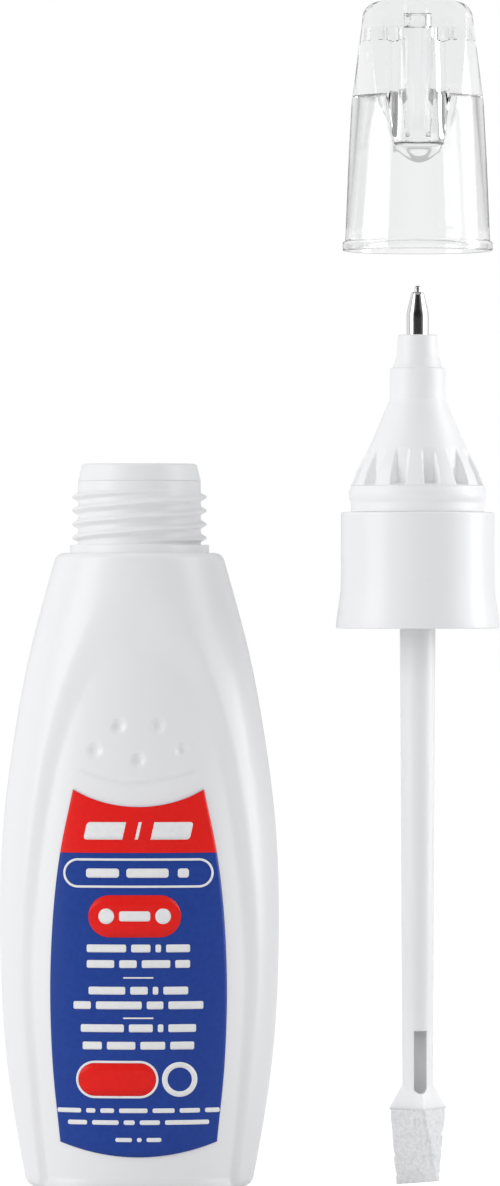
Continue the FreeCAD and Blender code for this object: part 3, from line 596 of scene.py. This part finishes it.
nose_white = plastic("nose_white", (0.935, 0.936, 0.94, 1), (0.928, 0.93, 0.934, 1), 0.36, 0.04,
                     {"IOR": 1.49}, 0.2, 0.002)
barrel_z = np.concatenate([np.arange(15.64, 16.1, 0.06), np.linspace(16.15, 25.1, 84)])
barrel = np.stack([smooth(barrel_z, *np.transpose(BARREL)), barrel_z], axis=-1)
nose_foot = rounded([
    (WAND_SOCKET, NOSE_FOOT, 0), (SPIGOT_RADIUS, NOSE_FOOT, 0.1), (SPIGOT_RADIUS, BAND_FOOT, 0),
    (BAND_RADIUS, BAND_FOOT, 0.08), (BAND_RADIUS, 13.85, 0.15), (BEAD_RADIUS, 14.35, 0.3),
    (BEAD_RADIUS, 15.1, 0.35), (BAND_RADIUS, 15.55, 0.15), (BAND_RADIUS, 15.6, 0)], 0.25)
nose_head = rounded([
    (3.09, 25.2, 0), (STEM_RADIUS, 25.6, 0.2), (STEM_RADIUS, STEM_TOP, 0.12), (2.74, STEM_TOP + 0.06, 0.1),
    (2.3, 29.9, 0.6), (2.16, NOSE_TOP, 0.22), (TIP_SOCKET, NOSE_TOP, 0.05), (TIP_SOCKET, TIP_SOCKET_FOOT, 0),
    (FEED_BORE, TIP_SOCKET_FOOT, 0), (FEED_BORE, WAND_SOCKET_TOP, 0), (WAND_SOCKET, WAND_SOCKET_TOP, 0),
    (WAND_SOCKET, NOSE_FOOT + 0.3, 0)], 0.4)
nose_grid = lathe(np.concatenate([nose_foot, barrel, nose_head]), 480, HEAD_X, HEAD_FOOT, rib_pockets)
piece("nose_cone_skin", [nose_grid], "applicator", nose_white, ["nose_cone"], ring=True)

# Metal tip: a drawn tube of nickel silver with a conical end, pressed in the nose's socket.
# Its mouth is turned round the valve pin, and inside is a conical seat.
TIP_FOOT = 26.5
TIP_TOP = 37.0
TIP_RADIUS = 1.22
TIP_BORE = 0.95
TIP_CONE_FOOT = 34.7
TIP_HOLE = 0.40
TIP_SEAT = 35.7
tip_metal = metal("tip_metal", (0.72, 0.72, 0.73, 1), (0.69, 0.69, 0.70, 1), 0.08, 0.04, {},
                  (1.0, 1.0, 1.0), 0.00005)
tip_profile = rounded([
    (TIP_BORE, TIP_FOOT, 0.03), (TIP_RADIUS, TIP_FOOT, 0.08), (TIP_RADIUS, TIP_CONE_FOOT, 0.35),
    (0.72, 36.75, 0.12), (0.62, TIP_TOP, 0.06), (TIP_HOLE, TIP_TOP, 0.03), (TIP_HOLE, TIP_SEAT, 0.03),
    (TIP_BORE, 34.6, 0.03)], 0.15)
piece("pen_tip_skin", [lathe(tip_profile, 96, HEAD_X, HEAD_FOOT)], "applicator", tip_metal,
      ["pen_tip"], ring=True)

# Spring retainer and valve spring: an acetal ring pressed in the tip's foot, and a coil of bright wire on it.
# Both are inside the tip and push the pin up against its seat.
retainer_plastic = plastic("retainer_plastic", (0.84, 0.84, 0.82, 1), (0.80, 0.80, 0.78, 1), 0.4, 0.1, {})
dress("spring_retainer", retainer_plastic)
dress("valve_spring", metal("spring_metal", (0.6, 0.6, 0.6, 1), (0.5, 0.5, 0.5, 1), 0.22, 0.1, {},
                            (1.0, 1.0, 1.0), 0.0004))

# Valve pin: a ground needle of stainless steel whose cone closes the tip from inside.
# Pressed in on paper, it lets the fluid past.
PIN_FOOT = 26.5
PIN_TOP = 37.7
PIN_TAIL_RADIUS = 0.25
PIN_COLLAR_RADIUS = 0.85
PIN_COLLAR_FOOT = 32.06
PIN_COLLAR_TOP = 32.56
PIN_BODY_RADIUS = 0.70
PIN_RADIUS = 0.33
pin_metal = metal("pin_metal", (0.62, 0.62, 0.63, 1), (0.52, 0.52, 0.53, 1), 0.16, 0.1, {},
                  (1.0, 1.0, 0.12), 0.0004)
pin_profile = rounded([
    (0.0, PIN_FOOT, 0), (PIN_TAIL_RADIUS, PIN_FOOT, 0.05), (PIN_TAIL_RADIUS, PIN_COLLAR_FOOT, 0.02),
    (PIN_COLLAR_RADIUS, PIN_COLLAR_FOOT, 0.05), (PIN_COLLAR_RADIUS, PIN_COLLAR_TOP, 0.05),
    (PIN_BODY_RADIUS, PIN_COLLAR_TOP, 0.02), (PIN_BODY_RADIUS, 34.96, 0.08), (PIN_RADIUS, TIP_SEAT, 0.06),
    (PIN_RADIUS, PIN_TOP, 0.28), (0.0, PIN_TOP, 0)], 0.12)
piece("valve_pin_skin", [lathe(pin_profile, 64, HEAD_X, HEAD_FOOT)], "needle", pin_metal,
      ["valve_pin"])

# Wand: a hollow tube of natural polyethylene with one inlet slot near its foot and a flared holder.
# It is drawn as a tube, slightly clear, and is pressed in the nose.


def merged(node):
    """Copy of a CAD piece's mesh with its old normals and finish left off; finished() then joins its loose
    triangles.
    """
    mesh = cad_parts[node].data.copy()
    mesh.name = node + "_skin"
    mesh.materials.clear()
    if "custom_normal" in mesh.attributes:
        mesh.attributes.remove(mesh.attributes["custom_normal"])
    return mesh


wand = Shader("wand_natural", {
    "IOR": 1.5,
    "Subsurface Weight": 0.7,
    "Subsurface Radius": (0.0008, 0.0008, 0.0008),
    "Subsurface Scale": 1.0,
})
wand_cloud = wand.noise(3.0, 3.0, (1.0, 1.0, 5.0))
wand.feed(wand.surface, {
    "Base Color": wand.blend(wand_cloud.between(0.3, 0.7), (0.97, 0.972, 0.975, 1), (0.95, 0.953, 0.958, 1)),
    "Roughness": 0.32 + 0.12 * wand_cloud,
    "Normal": wand.bump(wand.noise(0.3, 2.0), 0.002),
})
finished("wand_tube_skin", merged("wand_tube"), "applicator", wand.material,
         ["wand_tube"], 28.0)

# Foam chisel: open-cell foam on the wand's peg, cut to a slanted edge and stiff with dried white fluid.
# Its faces are uneven and pitted, and its corners are worn round.
FOAM_TOP = -52.8
FOAM_FOOT = -61.2
FOAM_TOP_SIZE = (4.4, 5.2)
FOAM_EDGE_SIZE = (5.1, 0.6)
FOAM_SLANT = 0.5
FOAM_TURN = math.radians(-30.0)
FOAM_ROUGHNESS = 0.11


def lattice(points, size, seed):
    """Smooth random height from 0 to 1: seeded values on a lattice of cubes, eased between their corners."""
    table = np.random.default_rng(seed).random((24, 24, 24))
    spot = points / size
    cell = np.floor(spot).astype(int)
    t = ease(spot - cell)
    total = 0.0
    for corner in np.ndindex(2, 2, 2):
        share = np.prod(np.where(corner, t, 1 - t), axis=-1)
        i, j, k = np.moveaxis((cell + corner) % 24, -1, 0)
        total = total + share * table[i, j, k]
    return total


def foam_grid():
    """Wedge: each level is a rectangle with eased corners that shrinks in depth towards the edge."""
    down = np.concatenate([np.zeros(9), np.linspace(0.0, 1.0, 72), np.ones(5)])[:, None]
    grow = np.concatenate([np.linspace(0.0, 1.0, 9), np.ones(72), np.linspace(1.0, 0.0, 5)])[:, None]
    turn = (np.arange(160) + 0.5) * 2 * math.pi / 160
    square = 1 / np.maximum(np.abs(np.cos(turn)), np.abs(np.sin(turn)))
    soft = (np.abs(np.cos(turn)) ** 14 + np.abs(np.sin(turn)) ** 14) ** (-1 / 14)
    ring = np.minimum(square, soft)
    half_x = (FOAM_TOP_SIZE[0] + (FOAM_EDGE_SIZE[0] - FOAM_TOP_SIZE[0]) * down) / 2
    half_y = (FOAM_TOP_SIZE[1] + (FOAM_EDGE_SIZE[1] - FOAM_TOP_SIZE[1]) * down) / 2
    x, y = grow * half_x * ring * np.cos(turn), grow * half_y * ring * np.sin(turn)
    z = FOAM_TOP + (FOAM_FOOT - FOAM_TOP) * down + FOAM_SLANT * down * (x / FOAM_EDGE_SIZE[0] + 0.5)
    points = np.stack([x, y, z], axis=-1)
    bumps = 0.55 * lattice(points, 0.7, 5) + 0.3 * lattice(points, 0.34, 6)
    bumps = bumps + 0.15 * lattice(points, 0.18, 7) - 0.5
    pits = ease((0.36 - lattice(points, 0.5, 8)) / 0.12)
    move = (2.2 * FOAM_ROUGHNESS * bumps - FOAM_ROUGHNESS * pits) * grow
    points[..., 0] += move * np.cos(turn) * 0.8
    points[..., 1] += move * np.sin(turn)
    cos, sin = math.cos(FOAM_TURN), math.sin(FOAM_TURN)
    turned = np.stack([HEAD_X + cos * points[..., 0] - sin * points[..., 1],
                       sin * points[..., 0] + cos * points[..., 1],
                       HEAD_FOOT + np.maximum(points[..., 2], FOAM_FOOT)], axis=-1)
    return turned


foam = Shader("foam_white", {"IOR": 1.45})
cells = foam.node("ShaderNodeTexVoronoi", {"feature": "SMOOTH_F1"},
                  {"Vector": foam.place, "Scale": 1 / (0.28 * MM), "Smoothness": 0.4}, 0)
crumbs = foam.noise(0.35, 5.0)
foam.feed(foam.surface, {
    "Base Color": foam.blend(crumbs.between(0.25, 0.7), (0.76, 0.765, 0.775, 1), (0.89, 0.89, 0.895, 1)),
    "Roughness": 0.75 + 0.15 * crumbs,
    "Normal": foam.bump(crumbs + 0.4 * cells, 0.06),
})
piece("foam_tip_skin", [foam_grid()], "applicator", foam.material, ["foam_tip"])

# Overcap: one clear moulding of styrene, drawn off above the head, with a flanged rim and a drafted wall.
# Two leaning facets cut its upper half outside and inside, and from its thick crown a tongue hangs between
# them, with a bore for the nose's stem and vents at the bore's top.
OVERCAP_RIM = 102.8
RIM_RADIUS = 8.24
RIM_HEIGHT = 1.0
ROOM_MOUTH = 7.62
OVERCAP_SIDE = ((0.0, RIM_RADIUS), (RIM_HEIGHT, RIM_RADIUS), (1.12, 7.97), (10.0, 7.6), (16.4, 7.26),
                (21.7, 6.57), (25.6, 6.08))
CROWN_HEIGHT = 27.6
CROWN_RADIUS = 6.08
CROWN_ROUNDING = 2.0
CROWN_DOME = 0.15
FACET_FOOT = 10.0
FACET_DISTANCE = 7.6
FACET_LEAN = 0.29
FACET_SOFTNESS = 0.05
ROOM_TOP = 17.0
ROOM_SIDE = ((0.0, ROOM_MOUTH), (2.3, ROOM_MOUTH), (ROOM_TOP, 6.35))
ROOM_FACET_DISTANCE = 6.8
ROOM_ROUNDING = 0.4
TONGUE_SIDE = ((2.6, 11.6), (3.14, 15.6), (4.05, 19.8))
CORE_BORE = 3.15
BORE_SIDE = ((11.6, 3.42), (14.0, 3.3), (22.7, CORE_BORE))
VENT_ANGLES = np.radians((-32.0, 0.0, 32.0))
VENT_HALF_WIDTH = 0.4
VENT_REACH = 4.4
VENT_FOOT = 22.7
VENT_TOP = 24.3
WELL_RADIUS = 1.6
WELL_TOP = 25.9


def overcap_outside(radius, height, angle):
    """The two facets are leaning planes: r is the soft lesser of the turned form's R and d / |sin|."""
    distance = FACET_DISTANCE - FACET_LEAN * (height - FACET_FOOT)
    plane = distance / np.maximum(np.abs(np.sin(angle)), 0.02)
    gap = np.sqrt((radius - plane) ** 2 + FACET_SOFTNESS ** 2)
    faceted = np.minimum((radius + plane - gap) / 2, radius)
    return np.where((height > FACET_FOOT - 0.5) & (radius > 0.3), faceted, radius), height


def overcap_room(radius, share, angle):
    """Share 0 to 1 goes up the room's wall, 1 to 2 across its roof, and 2 to 3 up the bore to the vents.

    The roof's height depends on |x| alone, as the tongue's sides do, up to the room's top. The wall ends at
    that roof, and the bore starts there: both places are found by repeated part steps. The edge between
    wall and roof is an arc of the rounding's radius.
    """
    side, front = np.abs(np.cos(angle)), np.maximum(np.abs(np.sin(angle)), 0.02)

    def wall(z):
        plane = (ROOM_FACET_DISTANCE - FACET_LEAN * (z - FACET_FOOT)) / front
        return np.minimum(np.interp(z, *np.transpose(ROOM_SIDE)), plane)

    def roof(x):
        return np.minimum(np.interp(x, *np.transpose(TONGUE_SIDE)), ROOM_TOP)

    def bore_radius(z):
        return np.interp(z, *np.transpose(BORE_SIDE))

    top, edge = ROOM_TOP + 0 * angle, CORE_BORE + 0 * angle
    for _ in range(40):
        top = 0.6 * top + 0.4 * roof(wall(top) * side)
        edge = 0.6 * edge + 0.4 * bore_radius(roof(edge * side))
    wall_z = np.minimum(share, 1.0) * (top - ROOM_ROUNDING)
    end = wall(top - ROOM_ROUNDING)
    roof_r = end + (edge - end) * np.clip(share - 1.0, 0.0, 1.0) ** 1.6
    inward = np.clip(1.0 - (end - roof_r) / ROOM_ROUNDING, 0.0, 1.0)
    drop = ROOM_ROUNDING * (1.0 - np.sqrt(1.0 - inward ** 2))
    bore_z = roof(edge * side) + (VENT_FOOT - 0.1 - roof(edge * side)) * (share - 2.0)
    radius = np.where(share <= 1.0, wall(wall_z), np.where(share <= 2.0, roof_r, bore_radius(bore_z)))
    height = np.where(share <= 1.0, wall_z, np.where(share <= 2.0, roof(roof_r * side) - drop, bore_z))
    return radius, height


def overcap_bore(radius, height, angle):
    """Vents widen the bore's top at three angles on each side."""
    across = np.min([np.abs(CORE_BORE * np.sin(angle - vent)) for vent in VENT_ANGLES], axis=0)
    window = ease((VENT_HALF_WIDTH - across) / 0.12 + 0.5) * ease((height - VENT_FOOT) / 0.12)
    in_bore = (np.abs(radius - CORE_BORE) < 0.02) & (height < VENT_TOP + 0.01)
    return radius + np.where(in_bore, (VENT_REACH - CORE_BORE) * window, 0.0), height


crown_turn = np.linspace(math.pi / 2, 0.0, 13)
crown_flat = np.linspace(0.0, CROWN_RADIUS - CROWN_ROUNDING, 18)[:-1]
crown_dip = CROWN_DOME * (crown_flat / (CROWN_RADIUS - CROWN_ROUNDING)) ** 2
crown_edge = CROWN_HEIGHT - CROWN_ROUNDING + (CROWN_ROUNDING - CROWN_DOME) * np.sin(crown_turn)
crown = np.concatenate([
    np.stack([crown_flat, CROWN_HEIGHT - crown_dip], axis=-1),
    np.stack([CROWN_RADIUS - CROWN_ROUNDING * (1 - np.cos(crown_turn)), crown_edge], axis=-1)])
side_z = np.concatenate([np.linspace(25.5, 1.3, 96), (1.16, 1.1)])
side = np.stack([np.interp(side_z, *np.transpose(OVERCAP_SIDE)), side_z], axis=-1)
rim = rounded([
    (7.99, RIM_HEIGHT + 0.02, 0), (RIM_RADIUS, RIM_HEIGHT, 0.12), (RIM_RADIUS, 0.0, 0.15),
    (ROOM_MOUTH, 0.0, 0.1), (ROOM_MOUTH, 0.3, 0)], 0.4)
room_share = np.concatenate([
    np.linspace(0.03, 1.0, 60), np.linspace(1.02, 2.0, 60), np.linspace(2.05, 3.0, 20)])
room = np.stack([room_share, room_share], axis=-1)
bore = np.stack([np.full(15, CORE_BORE), np.linspace(VENT_FOOT - 0.06, VENT_TOP, 15)], axis=-1)
well = rounded([
    (3.0, VENT_TOP, 0), (WELL_RADIUS, VENT_TOP, 0.1), (WELL_RADIUS, WELL_TOP, 0.3), (0.0, WELL_TOP, 0)], 0.4)
clear = Shader("overcap_clear", {"IOR": 1.5, "Transmission Weight": 1.0, "Specular IOR Level": 0.35})
flow = clear.noise(5.0, 2.0, (1.0, 1.0, 4.0))
clear.feed(clear.surface, {
    "Base Color": clear.blend(flow, (0.992, 0.994, 0.994, 1), (0.98, 0.984, 0.985, 1)),
    "Roughness": 0.01 + 0.02 * flow,
    "Normal": clear.bump(flow, 0.003),
})
parts = [(np.concatenate([crown, side]), overcap_outside), (rim, None), (room, overcap_room),
         (np.concatenate([bore, well]), overcap_bore)]
overcap_grid = np.concatenate([lathe(profile, 240, HEAD_X, OVERCAP_RIM, change) for profile, change in parts])
piece("overcap_skin", [overcap_grid], "cap", clear.material, ["overcap"], sharp=25.0)

# Studio: a pale floor that keeps the pen's shadow, white surroundings, and soft light from both sides.
# As in a light tent, gloss and metal mirror a dark side behind the camera, and clear plastic shows light
# ahead and greys at the sides. Each table of tones runs from behind the camera to straight ahead.
FLOOR_REACH = 6.0
CAMERA_DISTANCE = 0.9
FRAME_HEIGHT = 0.13046
SENSOR = 36.0
VIEW_MIDDLE = (0.01216, 0.0652)
WHITE = (1.0, 1.0, 1.0, 1.0)
AMBIENT = (0.67, 0.675, 0.685, 1.0)
GLOSSY_TONES = ((0.0, 0.02), (0.08, 0.03), (0.3, 0.45), (0.5, 0.55), (0.6, 1.0), (0.84, 1.0), (0.94, 0.75),
                (1.0, 0.5))
CLEAR_TONES = ((0.0, 0.9), (0.05, 0.75), (0.2, 0.35), (0.7, 0.28), (0.88, 0.45), (0.965, 0.8), (0.99, 0.94))


def sum_of_rays(shader, *kinds):
    """1 for a ray of one of the kinds, 0 for any other."""
    total = 0.0
    for kind in kinds:
        total = total + shader.node("ShaderNodeLightPath", {}, {}, kind)
    return total


floor_mesh = bpy.data.meshes.new("floor")
floor_corners = [(x * FLOOR_REACH, y * FLOOR_REACH, 0.0) for x, y in ((-1, -1), (1, -1), (1, 1), (-1, 1))]
floor_mesh.from_pydata(floor_corners, [], [(0, 1, 2, 3)])
floor = bpy.data.objects.new("floor", floor_mesh)
bpy.context.collection.objects.link(floor)
paper = Shader("floor_paper", {"Base Color": (0.8, 0.8, 0.8, 1), "Roughness": 0.9})
rays = sum_of_rays(paper, "Is Camera Ray", "Is Glossy Ray", "Is Transmission Ray")
glow_tone = paper.blend(sum_of_rays(paper, "Is Camera Ray"), (0.8, 0.8, 0.8, 1), WHITE)
glow = paper.node("ShaderNodeEmission", {}, {"Color": glow_tone, "Strength": 0.84})
thin = paper.node("ShaderNodeBsdfDiffuse", {}, {"Color": (0.3, 0.3, 0.3, 1)})
seen = paper.node("ShaderNodeAddShader", {}, {0: glow, 1: thin})
mixed = paper.node("ShaderNodeMixShader", {}, {0: rays, 1: Value(paper, paper.surface.outputs[0]), 2: seen})
paper.feed(paper.tree.nodes["Material Output"], {"Surface": mixed})
floor_mesh.materials.append(paper.material)


def light(name, place, aim, size, power, mirrored=False):
    """Soft rectangular light that looks from its place to its aim; a mirrored one shows in gloss alone."""
    data = bpy.data.lights.new(name, "AREA")
    data.shape = "RECTANGLE"
    data.size, data.size_y = size
    data.energy = power
    lamp = bpy.data.objects.new(name, data)
    lamp.location = place
    lamp.rotation_euler = (Vector(aim) - Vector(place)).to_track_quat("-Z", "Y").to_euler()
    lamp.visible_diffuse = lamp.visible_transmission = not mirrored
    bpy.context.collection.objects.link(lamp)


light("key_light", (-0.75, -0.36, 0.3), (0.01, 0.0, 0.07), (0.5, 0.8), 3.0)
light("side_light", (0.52, 0.05, 0.1), (0.015, 0.0, 0.07), (0.2, 0.7), 1.45)
light("edge_strip", (0.498, -0.044, 0.09), (0.0, 0.0, 0.06), (0.47, 0.9), 2.4, True)
world = bpy.data.worlds.new("surroundings")
world.use_nodes = True
bpy.context.scene.world = world


class Surroundings(Shader):
    """The world's own nodes, built with the same calls as a material's."""

    def __init__(self, world):
        self.tree = world.node_tree
        self.surface = self.tree.nodes["Background"]
        self.place = self.node("ShaderNodeTexCoord", {}, {}, "Generated")


air = Surroundings(world)
ahead = air.node("ShaderNodeSeparateXYZ", {}, {0: air.place}, "Y") * 0.5 + 0.5
in_gloss = air.node("ShaderNodeValToRGB", {"stops": GLOSSY_TONES}, {0: ahead})
through = air.node("ShaderNodeValToRGB", {"stops": CLEAR_TONES}, {0: ahead})
shown = air.blend(sum_of_rays(air, "Is Glossy Ray"), AMBIENT, in_gloss)
shown = air.blend(sum_of_rays(air, "Is Transmission Ray"), shown, through)
air.feed(air.surface, {"Color": air.blend(sum_of_rays(air, "Is Camera Ray"), shown, WHITE), "Strength": 1.0})

lens = bpy.data.cameras.new("camera")
lens.sensor_width = SENSOR
lens.lens = SENSOR * CAMERA_DISTANCE / FRAME_HEIGHT
lens.clip_start = 0.01
lens.clip_end = 50.0
camera = bpy.data.objects.new("camera", lens)
camera.location = (VIEW_MIDDLE[0], -CAMERA_DISTANCE, VIEW_MIDDLE[1])
camera.rotation_euler = (math.pi / 2, 0.0, 0.0)
bpy.context.collection.objects.link(camera)
bpy.context.scene.camera = camera
bpy.context.scene.view_settings.view_transform = "Standard"
